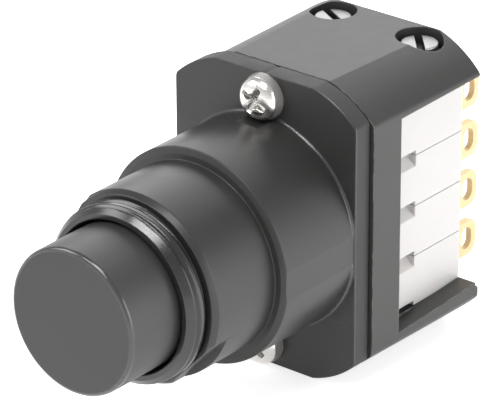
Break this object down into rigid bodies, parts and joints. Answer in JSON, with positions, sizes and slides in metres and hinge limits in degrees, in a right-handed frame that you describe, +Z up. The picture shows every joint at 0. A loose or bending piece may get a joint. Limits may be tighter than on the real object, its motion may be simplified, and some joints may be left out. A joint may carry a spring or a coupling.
{
  "type": "enabling switch",
  "caption": "Three-position enabling push switch: round press-button in a threaded panel stub, bevelled housing, stacked contact modules with gold solder tags.",
  "frame": {"origin": "on the button's axis, in the plane of the shoulder that seats on the panel, where the threaded stub starts", "axes": "+Y along the button's axis from the button to the solder tags, +X to the right seen from the button, +Z up"},
  "size_m": [0.0282, 0.0645, 0.0382],
  "materials": {
    "housing_black": "satin black moulding",
    "button_black": "matt dark grey",
    "stem_nylon": "natural nylon",
    "seal_rubber": "soft black rubber",
    "spring_steel": "bright drawn wire",
    "screw_bright": "bright nickel plate",
    "screw_dull": "dull zinc plate",
    "insert_brass": "turned brass",
    "module_white": "white moulding",
    "plunger_red": "red moulding",
    "contact_silver": "silver strip",
    "tag_gold": "thin gold plate"
  },
  "bodies": {
    "housing": {"front_housing": "housing_black", "body_housing": "housing_black", "button_seal": "seal_rubber", "body_gasket": "seal_rubber", "guide_bush": "stem_nylon", "return_spring": "spring_steel", "front_screw_upper": "screw_bright", "front_screw_lower": "screw_bright", "clamp_screws": "screw_dull", "clamp_inserts": "insert_brass", "contact_case_1": "module_white", "contact_lid_1": "module_white", "plunger_spring_1": "spring_steel", "tag_left_1": "tag_gold", "tag_right_1": "tag_gold", "contact_case_2": "module_white", "contact_lid_2": "module_white", "plunger_spring_2": "spring_steel", "tag_left_2": "tag_gold", "tag_right_2": "tag_gold", "contact_case_3": "module_white", "contact_lid_3": "module_white", "plunger_spring_3": "spring_steel", "tag_left_3": "tag_gold", "tag_right_3": "tag_gold", "contact_case_4": "module_white", "contact_lid_4": "module_white", "plunger_spring_4": "spring_steel", "tag_left_4": "tag_gold", "tag_right_4": "tag_gold"},
    "button": {"button_cap": "button_black", "stem": "stem_nylon", "stage_spring": "spring_steel"},
    "contact_carriage": {"yoke": "stem_nylon", "plunger_1": "plunger_red", "contact_bridge_1": "contact_silver", "plunger_2": "plunger_red", "contact_bridge_2": "contact_silver", "plunger_3": "plunger_red", "contact_bridge_3": "contact_silver", "plunger_4": "plunger_red", "contact_bridge_4": "contact_silver"}
  },
  "joints": [
    {"name": "button_press", "type": "slide", "parent": "housing", "child": "button", "axis": [0, 1, 0], "range_m": [0, 0.0048], "stiffness_N_per_m": 2500, "springref_m": -0.002, "deforming": ["return_spring", "stage_spring"]},
    {"name": "carriage_slide", "type": "slide", "parent": "housing", "child": "contact_carriage", "axis": [0, 1, 0], "range_m": [0, 0.0024], "deforming": ["plunger_spring_1", "plunger_spring_2", "plunger_spring_3", "plunger_spring_4"]}
  ],
  "couplings": [
    {"joint": "carriage_slide", "follows": "button_press", "ratio": 0.5}
  ]
}
